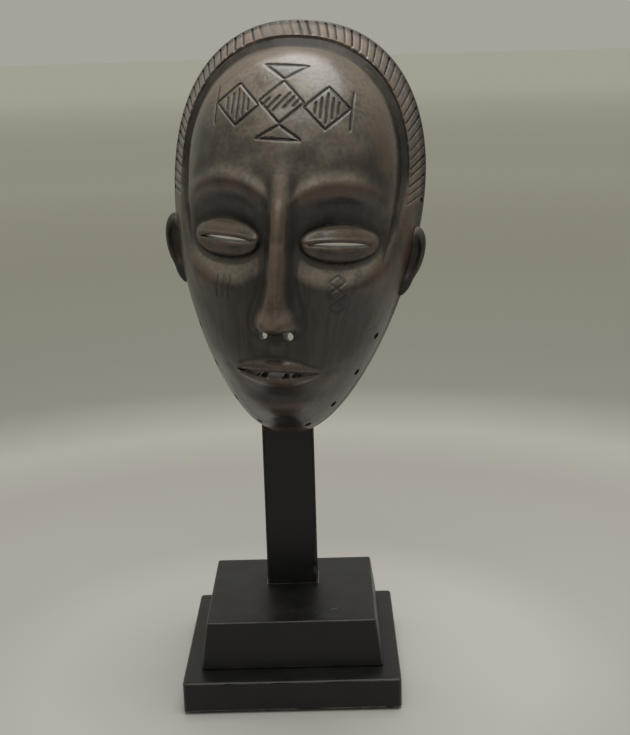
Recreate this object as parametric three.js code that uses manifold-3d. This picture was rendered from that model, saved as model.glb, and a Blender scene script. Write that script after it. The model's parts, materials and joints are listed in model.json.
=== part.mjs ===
// A carved wooden face mask on a painted wooden stand.
// Millimetres, +Z up. The origin is the middle of the stand's underside, the face looks along -Y.
import * as THREE from "three";
import { mergeVertices } from "three/addons/utils/BufferGeometryUtils.js";
import Module from "manifold-3d";

// ---- Driving dimensions -------------------------------------------------

// Fits shared by the whole assembly
const seatGap = 0.3; // between faces that rest on each other
const boreClearance = 0.3; // on the radius of a hole round the piece in it

// Base
const feltSide = 117;
const feltThickness = 1;
const plinthWidth = 125;
const plinthDepth = 125;
const plinthHeight = 18;
const plinthCornerRadius = 1.2;
const blockWidth = 106.4;
const blockDepth = 102.8;
const blockHeight = 27.6;
const blockSideTaper = 4;
const blockFrontTaper = 3.5;
const blockSetBack = 5.5;

// Post
const postWidth = 31;
const postThickness = 18;
const postLength = 124.5;
const postFrontSetBack = 13;
const postCornerRadius = 0.8;
const tenonWidth = 20;
const tenonThickness = 11;
const tenonLength = 16;

// Wood screws
const screwRadius = 1.8;
const screwHeadRadius = 3.8;
const screwHeadHeight = 2.6;
const screwHeadEdge = 0.5;
const screwTipLength = 5;
const screwSlotWidth = 1;
const screwSlotDepth = 1.1;
const plinthScrewLength = 27;
const plinthScrewInset = 14;
const plinthHeadDepth = 6;
const postScrewLength = 40;
const postScrewSpacing = 10;
const blockHeadDepth = 1;

// Steel spine and cross bar inside the mask
const spineRadius = 3;
const spineOffset = 8;
const spineBoreDepth = 28;
const spineBendRadius = 11;
const spineSocketDepth = 4;
const barRadius = 2.5;
const barOverhang = 1;
const barAxisHeight = 354;
const barHeadRadius = 8;
const barHeadLength = 15;
const grubRadius = 2;
const grubLength = 4.6;
const grubSocketRadius = 0.9;
const grubSocketDepth = 1.6;
const postGrubLength = 5.2;
const postGrubDrop = 14;
const sleeveWall = 2;
const sleeveLength = 13;
const sleeveHalfSpread = 31;
const padThickness = 2;
const padWidth = 22;
const padHeight = 18;
const padTopDrop = 4;

// Mask
const maskHeight = 238;
const maskWidth = 145;
const maskDepth = 72;
const eggFullness = 0.27;
const edgeFullness = 0.9;
const domeFullness = 0.86;
const edgeWall = 3;
const jawEdgeExtra = 1;
const domePower = 2.3; // fullness of the domes' profile
const jawPower = 1.3;
const crownFadeStart = 1.15; // radians round from the crown, where the brim starts to run out
const crownFadeEnd = 1.75;
const woodThickness = 8;
const hollowDepth = 60;
const hollowBlend = 6;
const turn = -7; // degrees about Z, face towards the viewer's left
const tilt = 4; // degrees about Y, crown towards the viewer's right
const lean = 3; // degrees about X, crown away from the viewer
const hangGap = 0.9; // between the hollow's roof and the sleeves that it hangs on
const chinSideShift = 0.5;
const barForward = 13; // of the mask's back edge

// Face, as shares of the height down from the crown
const browLevel = 0.4;
const eyeLevel = 0.5;
const noseLevel = 0.7;
const mouthLevel = 0.8;
const eyeSpacing = 62;
const eyeSlitWidth = 34;
const eyeSlitHeight = 2.6;
const mouthWidth = 48;
const mouthGap = 3.4;
const nostrilRadius = 2.6;
const nostrilSpacing = 14;
const nostrilDrop = 1.5;
const nostrilTilt = 10; // degrees, lower towards the hollow
const bandWidth = 9.5;
const bandSlope = 2.1;
const bandStep = 1.6;
const coveWidth = 9;
const coveHeight = 20;
const coveSlope = 0.25;
const coveBlend = 7;
const bandBlend = 1;
const foreheadOverCove = 0.6; // share of the cove's width
const faceFadeStart = 0.8; // shares of the way out, where the carving of the face runs out
const faceFadeEnd = 0.97;
const wallBeside = 0.8; // shares of the wood's thickness, kept beside the carving
const wallBesideDepth = 0.3;
const browArch = 0.016; // drop per squared millimetre from the brow's middle
const browLift = 5.5;
const foreheadFullness = 5;
const socketDepth = 12;
const socketHalfWidth = 29;
const socketHalfHeight = 28;
const lidRise = 8.5;
const lidHalfWidth = 20;
const lidHalfHeight = 10.5;
const noseRootRise = 6;
const noseTipRise = 15;
const noseRootHalfWidth = 7;
const noseWings = 5;
const muzzleRise = 8.5;
const muzzleSpread = 37;
const lipRise = 3.6;
const lipSpread = 22;
const chinRise = 6;
const chinSpread = 19;
const cheekRise = 3.2;
const cheekSpread = 15;
const earHeight = 42;
const earReach = 8;
const earThickness = 11;
const earLevel = 0.55;
const earForward = 11;
const earHollow = 3;
const rimHoleRadius = 2;
const rimHoleForward = 25;
const rimHoleAngles = [118, 131, 146, 163]; // degrees round from the crown, each side
const templeHoleRadius = 1.4;
const templeHoleForward = 9;
const templeHoleAngle = 79;
const holeTilt = 40; // degrees, backwards on the way in

// Mesh fineness
const aroundMask = 72;
const ringsOutside = 24;
const ringsInside = 17;
const roundSides = 20;

// ---- Places worked out from them ---------------------------------------

const plinthBottom = feltThickness + seatGap;
const plinthTop = plinthBottom + plinthHeight;
const blockBottom = plinthTop + seatGap;
const blockTop = blockBottom + blockHeight;
const postBottom = blockTop + seatGap;
const postTop = postBottom + postLength;
const postY = postFrontSetBack + postThickness / 2;
const mortiseBottom = blockTop - tenonLength - seatGap;
const tenonBottom = postBottom - tenonLength;
const spineFoot = postTop - spineBoreDepth + seatGap;
const sleeveRadius = barRadius + boreClearance + sleeveWall;
const maskHalfHeight = maskHeight / 2;
const maskHalfWidth = maskWidth / 2;

// ---- Solids --------------------------------------------------------------

const wasm = await Module();
wasm.setup();

function solidOf(geometry) {
  const bare = geometry.clone();
  bare.deleteAttribute("normal");
  bare.deleteAttribute("uv");
  const merged = mergeVertices(bare, 1e-4);
  return new wasm.Manifold(
    new wasm.Mesh({
      numProp: 3,
      vertProperties: new Float32Array(merged.attributes.position.array),
      triVerts: new Uint32Array(merged.index.array),
    }),
  );
}

function geometryOf(solid) {
  const mesh = solid.getMesh();
  const geometry = new THREE.BufferGeometry();
  geometry.setAttribute("position", new THREE.BufferAttribute(mesh.vertProperties, 3));
  geometry.setIndex(new THREE.BufferAttribute(mesh.triVerts, 1));
  geometry.computeVertexNormals();
  return geometry;
}

function cut(body, ...tools) {
  return geometryOf(tools.reduce((left, tool) => left.subtract(solidOf(tool)), solidOf(body)));
}

function join(body, ...others) {
  return geometryOf(others.reduce((whole, other) => whole.add(solidOf(other)), solidOf(body)));
}

function addPart(group, name, geometry, material) {
  const mesh = new THREE.Mesh(geometry, material);
  mesh.name = name;
  group.add(mesh);
  return mesh;
}

// A cylinder with its foot at the origin, standing along +Z.
function upright(radius, length, sides = roundSides) {
  return new THREE.CylinderGeometry(radius, radius, length, sides)
    .rotateX(Math.PI / 2)
    .translate(0, 0, length / 2);
}

// A board of the given width (X), depth (Y) and height (Z), standing on z = 0, with rounded upright edges.
function board(width, depth, height, radius) {
  const x = width / 2;
  const y = depth / 2;
  const outline = new THREE.Shape();
  outline.moveTo(-x + radius, -y);
  outline.lineTo(x - radius, -y);
  outline.absarc(x - radius, -y + radius, radius, -Math.PI / 2, 0);
  outline.lineTo(x, y - radius);
  outline.absarc(x - radius, y - radius, radius, 0, Math.PI / 2);
  outline.lineTo(-x + radius, y);
  outline.absarc(-x + radius, y - radius, radius, Math.PI / 2, Math.PI);
  outline.lineTo(-x, -y + radius);
  outline.absarc(-x + radius, -y + radius, radius, Math.PI, 1.5 * Math.PI);
  return new THREE.ExtrudeGeometry(outline, {
    depth: height,
    bevelEnabled: false,
    curveSegments: 3,
  });
}

// ---- Materials -----------------------------------------------------------

const wood = () => new THREE.MeshStandardMaterial({ color: 0x3a3029, roughness: 0.38, metalness: 0 });
const paint = () => new THREE.MeshStandardMaterial({ color: 0x1d1d1c, roughness: 0.45, metalness: 0 });
const steel = () => new THREE.MeshStandardMaterial({ color: 0x2a2a2b, roughness: 0.4, metalness: 0.9 });
const zinc = () => new THREE.MeshStandardMaterial({ color: 0xa9a8a2, roughness: 0.35, metalness: 1 });
const felt = () => new THREE.MeshStandardMaterial({ color: 0x161616, roughness: 0.95, metalness: 0 });
const rubber = () => new THREE.MeshStandardMaterial({ color: 0x191919, roughness: 0.7, metalness: 0 });

// ---- Screws --------------------------------------------------------------

// A slotted countersunk wood screw, head down at z = 0, pointing along +Z.
function woodScrew(length) {
  const profile = [
    new THREE.Vector2(0, 0),
    new THREE.Vector2(screwHeadRadius, 0),
    new THREE.Vector2(screwHeadRadius, screwHeadEdge),
    new THREE.Vector2(screwRadius, screwHeadHeight),
    new THREE.Vector2(screwRadius, length - screwTipLength),
    new THREE.Vector2(0, length),
  ];
  const turned = new THREE.LatheGeometry(profile, roundSides).rotateX(Math.PI / 2);
  const slot = new THREE.BoxGeometry(4 * screwHeadRadius, screwSlotWidth, 2 * screwSlotDepth);
  return cut(turned, slot);
}

// The hole that holds such a screw whose head lies headDepth above the face at z = 0.
function screwHole(length, headDepth) {
  const shank = upright(screwRadius + boreClearance, headDepth + length + seatGap);
  const head = upright(
    screwHeadRadius + boreClearance,
    headDepth + screwHeadHeight + seatGap + 1,
  ).translate(0, 0, -1);
  return join(shank, head);
}

// A grub screw from z = 0 along +Z, with a round socket in the end at z = 0.
function grubScrew(length) {
  const socket = upright(grubSocketRadius, grubSocketDepth + 1, 6).translate(0, 0, -1);
  return cut(upright(grubRadius, length), socket);
}

// ---- Base ----------------------------------------------------------------

const plinthScrewPlaces = [-1, 1].flatMap((side) =>
  [-1, 1].map((end) => [
    side * (blockWidth / 2 - plinthScrewInset),
    blockSetBack + end * (blockDepth / 2 - plinthScrewInset),
  ]),
);
const postScrewPlaces = [-1, 1].map((side) => [(side * postScrewSpacing) / 2, postY]);

function plinthScrewHole([x, y]) {
  return screwHole(plinthScrewLength, plinthHeadDepth).translate(x, y, plinthBottom);
}

function postScrewHole([x, y]) {
  return screwHole(postScrewLength, blockHeadDepth).translate(x, y, blockBottom);
}

function plinth() {
  const slab = board(plinthWidth, plinthDepth, plinthHeight, plinthCornerRadius);
  return cut(slab.translate(0, 0, plinthBottom), ...plinthScrewPlaces.map(plinthScrewHole));
}

// The upper block narrows towards its top, and holds the post's tenon in a mortise.
function block() {
  const body = board(blockWidth, blockDepth, blockHeight, plinthCornerRadius);
  const place = body.attributes.position;
  for (let i = 0; i < place.count; i++) {
    if (place.getZ(i) < blockHeight / 2) continue;
    place.setX(i, place.getX(i) * (1 - (2 * blockSideTaper) / blockWidth));
    place.setY(i, place.getY(i) * (1 - (2 * blockFrontTaper) / blockDepth));
  }
  body.translate(0, blockSetBack, blockBottom);
  const mortise = new THREE.BoxGeometry(
    tenonWidth + 2 * boreClearance,
    tenonThickness + 2 * boreClearance,
    tenonLength + seatGap + 1,
  ).translate(0, postY, (mortiseBottom + blockTop + 1) / 2);
  return cut(body, mortise, ...plinthScrewPlaces.map(plinthScrewHole), ...postScrewPlaces.map(postScrewHole));
}

// ---- Post ----------------------------------------------------------------

// The upright stands in the block on a stub tenon. Its top is bored for the spine.
function post() {
  const upper = board(postWidth, postThickness, postLength, postCornerRadius).translate(0, postY, postBottom);
  const tenon = new THREE.BoxGeometry(tenonWidth, tenonThickness, tenonLength + 1).translate(
    0,
    postY,
    tenonBottom + (tenonLength + 1) / 2,
  );
  const spineBore = upright(spineRadius + boreClearance, spineBoreDepth + 1).translate(
    spineOffset,
    postY,
    postTop - spineBoreDepth,
  );
  const grubBore = upright(grubRadius + boreClearance, postThickness / 2 + 1)
    .rotateX(-Math.PI / 2)
    .translate(spineOffset, postY, postTop - postGrubDrop);
  return cut(join(upper, tenon), spineBore, grubBore, ...postScrewPlaces.map(postScrewHole));
}

// ---- Mask surface ----------------------------------------------------------

// Half the outline's width at an angle round from the crown, before it is scaled to the mask.
function eggWidth(angle) {
  const sine = Math.sin(angle);
  return Math.sign(sine) * Math.abs(sine) ** edgeFullness * (1 + eggFullness * Math.cos(angle));
}

function widestEgg() {
  let widest = 0;
  for (let angle = 0; angle < Math.PI; angle += 0.002) widest = Math.max(widest, eggWidth(angle));
  return widest;
}
const eggWidest = widestEgg();

// The back edge's outline: x across and z up, at an angle round from the crown.
function edge(angle, inset = 0) {
  const x = eggWidth(angle) / eggWidest;
  return [x * (maskHalfWidth - inset), Math.cos(angle) * (maskHalfHeight - inset)];
}

const bell = (value, middle, width) => Math.exp(-(((value - middle) / width) ** 2));
const ramp = (value, from, to) => {
  const t = THREE.MathUtils.clamp((value - from) / (to - from), 0, 1);
  return t * t * (3 - 2 * t);
};
const softMin = (a, b, blend) => {
  const mix = Math.max(blend - Math.abs(a - b), 0) / blend;
  return Math.min(a, b) - (mix * mix * blend) / 4;
};
const softMax = (a, b, blend) => -softMin(-a, -b, blend);
const down = (level) => maskHalfHeight - level * maskHeight;

// A quarter of a full ellipse: 0 at share 0, 1 at share 1, steep at first.
function domeCurve(share) {
  return Math.sqrt(1 - (1 - THREE.MathUtils.clamp(share, 0, 1)) ** domePower);
}

// The angle round from the crown and the share of the way out to an outline, at x across and z up.
function polar(x, z, inset = 0) {
  let angle = Math.atan2((x * maskHeight) / maskWidth, z);
  for (let i = 0; i < 14; i++) {
    const miss = Math.atan2(x, z) - Math.atan2(...edge(angle, inset));
    angle += Math.atan2(Math.sin(miss), Math.cos(miss));
  }
  return [angle, Math.hypot(x, z) / Math.hypot(...edge(angle, inset))];
}

// The roughed-out block: a sloping brim for the hair band, a cove inside it, then the full forehead.
function blockForward(angle, spread) {
  const reach = Math.hypot(...edge(angle));
  const inward = reach * (1 - spread);
  const crown = 1 - ramp(Math.abs(angle), crownFadeStart, crownFadeEnd);
  const jawEdge = edgeWall + jawEdgeExtra;
  const jaw = jawEdge + (maskDepth - jawEdge) * domeCurve(inward / reach) ** jawPower;
  const band = edgeWall + bandSlope * inward;
  const cove = edgeWall + bandSlope * bandWidth + coveSlope * (inward - bandWidth);
  const step = bandStep * ramp(inward, bandWidth - 0.5, bandWidth + 1.2);
  const foreheadStart = bandWidth + foreheadOverCove * coveWidth;
  const share = (inward - foreheadStart) / (reach - foreheadStart);
  const forehead = share > 0 ? coveHeight + (maskDepth - coveHeight) * domeCurve(share) : 0;
  const top = softMax(softMin(band, cove, bandBlend) - step, forehead, coveBlend);
  return jaw + (top - jaw) * crown;
}

// How far the carved face stands in front of the block, at x across and z up.
function carving(x, z) {
  const side = Math.abs(x);
  const brow = down(browLevel);
  const eye = down(eyeLevel);
  const nose = down(noseLevel);
  const mouth = down(mouthLevel);
  const fromEye = side - eyeSpacing / 2;
  const browLine = brow + browLift - browArch * fromEye ** 2;
  const forehead = foreheadFullness * bell(z, brow + 38, 44) * bell(x, 0, 52);
  const around = Math.hypot(fromEye / socketHalfWidth, (z - eye - 3) / socketHalfHeight);
  const socket = -socketDepth * ramp(browLine - z, -1.5, 8) * (1 - ramp(around, 0.3, 1.1));
  const lidAround = Math.hypot(fromEye / lidHalfWidth, (z - eye) / lidHalfHeight);
  const lid = lidAround < 1 ? lidRise * Math.sqrt(1 - lidAround ** 2.2) : 0;
  const downNose = THREE.MathUtils.clamp((brow - z) / (brow - nose), 0, 1);
  const ridgeHalf = noseRootHalfWidth + 2.2 * downNose + noseWings * ramp(downNose, 0.6, 0.95);
  const ridgeEnds = ramp(z, nose - 3, nose + 4) * (1 - ramp(z, brow - 10, brow + 22));
  const ridgeAcross = 1 - ramp(side, 0.15 * ridgeHalf, 1.3 * ridgeHalf);
  const ridge = (noseRootRise + noseTipRise * downNose ** 0.9) * ridgeEnds * ridgeAcross;
  const muzzle = muzzleRise * bell(z, mouth + 1, 21) * bell(x, 0, muzzleSpread);
  const lips = lipRise * (bell(z, mouth + 5, 4) + bell(z, mouth - 5, 4)) * bell(x, 0, lipSpread);
  const chin = chinRise * bell(z, mouth - 27, 11) * bell(x, 0, chinSpread);
  const cheekbone = cheekRise * bell(side, 45, cheekSpread) * bell(z, eye - 19, 13);
  return forehead + socket + lid + ridge + muzzle + lips + chin + cheekbone;
}

// How far the outer face stands in front of the back edge, at an angle and share of the way out.
function faceAt(angle, spread) {
  const [edgeX, edgeZ] = edge(angle);
  const fade = 1 - ramp(spread, faceFadeStart, faceFadeEnd);
  return blockForward(angle, spread) + carving(edgeX * spread, edgeZ * spread) * fade;
}

// The hollow's depth: a smaller dome that keeps a wall behind and beside the carving.
function hollowForward(x, z) {
  const spread = Math.min(1, polar(x, z, woodThickness)[1]);
  const dome = hollowDepth * domeCurve(1 - spread);
  const outward = 1 + (wallBeside * woodThickness) / Math.max(Math.hypot(x, z), 1);
  const beside = faceAt(...polar(x * outward, z * outward)) - wallBesideDepth * woodThickness;
  const behind = faceAt(...polar(x, z)) - woodThickness;
  return Math.max(0, softMin(softMin(dome, behind, hollowBlend), beside, hollowBlend));
}

// One closed shell: a sphere whose front half becomes the face and whose back half the hollow.
function shell() {
  const rings = ringsOutside + 2 + ringsInside;
  const sphere = new THREE.SphereGeometry(1, aroundMask, rings);
  const place = sphere.attributes.position;
  const ball = new THREE.Vector3();
  for (let i = 0; i < place.count; i++) {
    ball.fromBufferAttribute(place, i);
    const ring = Math.round((Math.acos(THREE.MathUtils.clamp(-ball.y, -1, 1)) / Math.PI) * rings);
    const angle = Math.atan2(ball.x, ball.z);
    const inside = ring > ringsOutside + 1;
    const share = inside ? (rings - ring) / ringsInside : Math.min(1, ring / ringsOutside);
    const spread = Math.sin((share * Math.PI) / 2) ** domeFullness;
    const [edgeX, edgeZ] = edge(angle, inside ? woodThickness : 0);
    const x = edgeX * spread;
    const z = edgeZ * spread;
    const onBackEdge = ring === ringsOutside + 1 || ring === ringsOutside + 2;
    const forward = inside ? hollowForward(x, z) : faceAt(angle, spread);
    place.setXYZ(i, x, onBackEdge ? 0 : -forward, z);
  }
  return sphere;
}

function ear(side) {
  const z = down(earLevel);
  const angle = Math.acos(z / maskHalfHeight);
  const [edgeX] = edge(angle);
  const lobe = new THREE.SphereGeometry(1, 16, 12)
    .scale(earReach, earThickness / 2, earHeight / 2)
    .translate(edgeX, -earForward, z);
  const dish = new THREE.SphereGeometry(1, 12, 8)
    .scale(earReach / 2, earHollow, earHeight / 4)
    .translate(edgeX + earReach / 2 - 1, -earForward - earThickness / 2, z);
  const shaped = cut(lobe, dish);
  return side > 0 ? shaped : solidMirrored(shaped);
}

// The same solid on the other side of the middle plane, faces still outward.
function solidMirrored(geometry) {
  const mirrored = geometry.clone().scale(-1, 1, 1);
  const faces = mirrored.index.array;
  for (let i = 0; i < faces.length; i += 3) {
    [faces[i + 1], faces[i + 2]] = [faces[i + 2], faces[i + 1]];
  }
  return mirrored;
}

// A lens-shaped slit with its middle at x and z, cut right through along Y.
function slit(x, z, width, height) {
  const outline = new THREE.Shape();
  outline.moveTo(-width / 2, 0);
  outline.quadraticCurveTo(0, -height, width / 2, 0);
  outline.quadraticCurveTo(0, height, -width / 2, 0);
  return new THREE.ExtrudeGeometry(outline, { depth: 2 * maskDepth, bevelEnabled: false, curveSegments: 8 })
    .rotateX(Math.PI / 2)
    .translate(x, maskDepth / 2, z);
}

// A hole drilled just under the nose, through to the hollow.
function nostril(side) {
  return upright(nostrilRadius, 2 * maskDepth, 12)
    .translate(0, 0, -maskDepth)
    .rotateX(Math.PI / 2 - THREE.MathUtils.degToRad(nostrilTilt))
    .translate((side * nostrilSpacing) / 2, -maskDepth, down(noseLevel) - nostrilDrop);
}

// A hole through the side wall, drilled square to the outline and slanting back on its way in.
function rimHole(degrees, radius, forward) {
  const angle = THREE.MathUtils.degToRad(degrees);
  const slant = THREE.MathUtils.degToRad(holeTilt);
  const [x, z] = edge(angle);
  const [nextX, nextZ] = edge(angle + 0.01);
  const inward = new THREE.Vector3(nextZ - z, 0, x - nextX).normalize();
  if (inward.x * x + inward.z * z > 0) inward.negate();
  inward.multiplyScalar(Math.cos(slant)).setY(Math.sin(slant));
  const aim = new THREE.Quaternion().setFromUnitVectors(new THREE.Vector3(0, 0, 1), inward);
  return upright(radius, 8 * woodThickness, 12)
    .translate(0, 0, -4 * woodThickness)
    .applyQuaternion(aim)
    .translate(x, -forward, z);
}

function mask() {
  const slits = [-1, 1].map((side) =>
    slit((side * eyeSpacing) / 2, down(eyeLevel), eyeSlitWidth, eyeSlitHeight),
  );
  const holes = [-1, 1].flatMap((side) => [
    rimHole(side * templeHoleAngle, templeHoleRadius, templeHoleForward),
    ...rimHoleAngles.map((degrees) => rimHole(side * degrees, rimHoleRadius, rimHoleForward)),
  ]);
  return cut(
    join(shell(), ear(1), ear(-1)),
    ...slits,
    slit(0, down(mouthLevel), mouthWidth, mouthGap),
    nostril(1),
    nostril(-1),
    ...holes,
  );
}

// ---- Where the mask hangs --------------------------------------------------

// The height at which the hollow, at x across, is no deeper than the given depth.
function roofOver(x, depth) {
  let low = 0;
  let high = maskHalfHeight;
  while (high - low > 0.01) {
    const middle = (high + low) / 2;
    if (hollowForward(x, middle) > depth) low = middle;
    else high = middle;
  }
  return low;
}

// The bar's axis in the mask's own frame: its sleeves just touch the roof of the hollow.
function barHeightInMask() {
  const outerEnd = sleeveHalfSpread + sleeveLength / 2;
  const heights = [];
  for (let degrees = 0; degrees <= 90; degrees += 10) {
    const a = THREE.MathUtils.degToRad(degrees);
    const roof = roofOver(outerEnd, barForward + sleeveRadius * Math.cos(a));
    heights.push(roof - sleeveRadius * Math.sin(a));
  }
  return Math.min(...heights) - hangGap;
}

const turnAngle = THREE.MathUtils.degToRad(turn);
const maskTurn = new THREE.Euler(
  THREE.MathUtils.degToRad(-lean),
  THREE.MathUtils.degToRad(tilt),
  turnAngle,
  "ZYX",
);
const barInMask = new THREE.Vector3(0, -barForward, barHeightInMask());
const barToChin = new THREE.Vector3(0, 0, -maskHalfHeight).sub(barInMask).applyEuler(maskTurn);
const backEdgeToPost = padThickness + 2 * seatGap + (postWidth / 2) * Math.sin(Math.abs(turnAngle));
const backEdgeY = postFrontSetBack - backEdgeToPost;
const spineReach = (postY + barToChin.y - backEdgeY) / Math.cos(turnAngle);
const headPlace = new THREE.Vector3(0, -spineReach, 0)
  .applyAxisAngle(new THREE.Vector3(0, 0, 1), turnAngle)
  .add(new THREE.Vector3(spineOffset, postY, barAxisHeight));
const acrossMask = new THREE.Vector3(1, 0, 0).applyEuler(maskTurn);
const barShift = (chinSideShift - headPlace.x - barToChin.x) / acrossMask.x;

// ---- Spine, cross bar, sleeves and pad ---------------------------------------

// A steel rod that rises from its foot at the origin and bends forward level with the cross bar.
function spine() {
  const level = barAxisHeight - spineFoot;
  const reach = spineReach - (barHeadRadius - spineSocketDepth) - seatGap;
  const path = new THREE.CurvePath();
  const bendStart = new THREE.Vector3(0, 0, level - spineBendRadius);
  const bendEnd = new THREE.Vector3(0, -spineBendRadius, level);
  const corner = new THREE.Vector3(0, 0, level);
  path.add(new THREE.LineCurve3(new THREE.Vector3(0, 0, 0), bendStart));
  path.add(new THREE.QuadraticBezierCurve3(bendStart, corner, bendEnd));
  path.add(new THREE.LineCurve3(bendEnd, new THREE.Vector3(0, -reach, level)));
  const section = new THREE.Shape().absarc(0, 0, spineRadius, 0, 2 * Math.PI);
  return new THREE.ExtrudeGeometry(section, {
    extrudePath: path,
    steps: 60,
    curveSegments: 5,
    bevelEnabled: false,
  });
}

// A turned collar that holds the cross bar. The spine's end is brazed into the socket in its back.
function barHead() {
  const collar = upright(barHeadRadius, barHeadLength)
    .rotateY(Math.PI / 2)
    .translate(-barHeadLength / 2, 0, 0);
  const barBore = upright(barRadius + boreClearance, 2 * barHeadLength)
    .rotateY(Math.PI / 2)
    .translate(-barHeadLength, 0, 0);
  const socket = upright(spineRadius + boreClearance, spineSocketDepth + 5)
    .rotateX(-Math.PI / 2)
    .translate(0, barHeadRadius - spineSocketDepth, 0);
  const grubBore = upright(grubRadius + boreClearance, barHeadRadius + 1).translate(0, 0, -barHeadRadius - 1);
  return cut(collar, barBore, socket, grubBore);
}

function crossBar() {
  const length = 2 * (sleeveHalfSpread + sleeveLength / 2 + barOverhang);
  return upright(barRadius, length).rotateY(Math.PI / 2).translate(-length / 2, 0, 0);
}

function sleeve() {
  const outside = upright(sleeveRadius, sleeveLength);
  const bore = upright(barRadius + boreClearance, sleeveLength + 2).translate(0, 0, -1);
  return cut(outside, bore).rotateY(Math.PI / 2).translate(-sleeveLength / 2, 0, 0);
}

function chinPad() {
  return new THREE.BoxGeometry(padWidth, padThickness, padHeight);
}

// ---- Assembly ------------------------------------------------------------------

const assembly = new THREE.Group();

addPart(
  assembly,
  "base_felt",
  board(feltSide, feltSide, feltThickness, plinthCornerRadius),
  felt(),
);
addPart(assembly, "base_plinth", plinth(), paint());
addPart(assembly, "base_block", block(), paint());
addPart(assembly, "post", post(), paint());

plinthScrewPlaces.forEach(([x, y], index) => {
  const screw = addPart(assembly, `plinth_screw_${index + 1}`, woodScrew(plinthScrewLength), zinc());
  screw.position.set(x, y, plinthBottom + plinthHeadDepth);
});
postScrewPlaces.forEach(([x, y], index) => {
  const screw = addPart(assembly, `post_screw_${index + 1}`, woodScrew(postScrewLength), zinc());
  screw.position.set(x, y, blockBottom + blockHeadDepth);
});

const postGrub = addPart(assembly, "spine_grub_screw", grubScrew(postGrubLength), steel());
postGrub.rotation.x = Math.PI / 2;
postGrub.position.set(
  spineOffset,
  postY + spineRadius + seatGap + postGrubLength,
  postTop - postGrubDrop,
);

const pad = addPart(assembly, "chin_pad", chinPad(), felt());
pad.position.set(
  0,
  postFrontSetBack - seatGap - padThickness / 2,
  postTop - padTopDrop - padHeight / 2,
);

// The spine stands in the post, turned as the mask is.
const spineGroup = new THREE.Group();
spineGroup.position.set(spineOffset, postY, spineFoot);
spineGroup.rotation.z = turnAngle;
addPart(spineGroup, "spine_rod", spine(), steel());
assembly.add(spineGroup);

// The collar is tilted on the spine's end, and the bar slid along in it, so that the chin meets the post.
const headGroup = new THREE.Group();
headGroup.position.copy(headPlace);
headGroup.rotation.set(0, THREE.MathUtils.degToRad(tilt), turnAngle, "ZYX");
addPart(headGroup, "bar_collar", barHead(), steel());
const barGrub = addPart(headGroup, "bar_grub_screw", grubScrew(grubLength), steel());
barGrub.position.z = -barRadius - seatGap - grubLength;
const barGroup = new THREE.Group();
barGroup.position.x = barShift;
addPart(barGroup, "cross_bar", crossBar(), steel());
addPart(barGroup, "bar_sleeve_left", sleeve(), rubber()).position.x = -sleeveHalfSpread;
addPart(barGroup, "bar_sleeve_right", sleeve(), rubber()).position.x = sleeveHalfSpread;

const maskGroup = new THREE.Group();
maskGroup.rotation.x = THREE.MathUtils.degToRad(-lean);
addPart(maskGroup, "mask", mask(), wood()).position.copy(barInMask).negate();
barGroup.add(maskGroup);
headGroup.add(barGroup);
assembly.add(headGroup);

export default assembly;
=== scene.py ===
import json
import math

import bmesh
import bpy
import numpy as np
from mathutils import Matrix, Vector, noise


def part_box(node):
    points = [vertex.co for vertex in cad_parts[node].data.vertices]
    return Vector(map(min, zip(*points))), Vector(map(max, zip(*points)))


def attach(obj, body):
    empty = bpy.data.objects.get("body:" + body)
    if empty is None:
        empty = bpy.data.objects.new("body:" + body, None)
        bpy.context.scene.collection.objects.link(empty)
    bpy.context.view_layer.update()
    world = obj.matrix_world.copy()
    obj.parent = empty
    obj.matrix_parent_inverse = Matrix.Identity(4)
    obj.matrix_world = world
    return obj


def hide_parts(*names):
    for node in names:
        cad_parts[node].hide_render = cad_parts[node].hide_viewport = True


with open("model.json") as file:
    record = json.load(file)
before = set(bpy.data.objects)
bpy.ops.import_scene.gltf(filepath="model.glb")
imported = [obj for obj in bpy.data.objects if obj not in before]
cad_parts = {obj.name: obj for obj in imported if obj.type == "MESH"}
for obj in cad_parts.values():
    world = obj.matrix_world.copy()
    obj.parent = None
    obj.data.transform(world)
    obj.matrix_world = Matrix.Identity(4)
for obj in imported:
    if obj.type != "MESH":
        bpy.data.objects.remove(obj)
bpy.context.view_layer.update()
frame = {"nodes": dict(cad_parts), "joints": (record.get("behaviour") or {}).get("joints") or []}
mm = 0.001

# ---------------------------------------------------------------------------
# The felt sheet under the stand: 1 mm wool felt, cut square and glued on, so
# that the base doesn't scratch a shelf.


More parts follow.
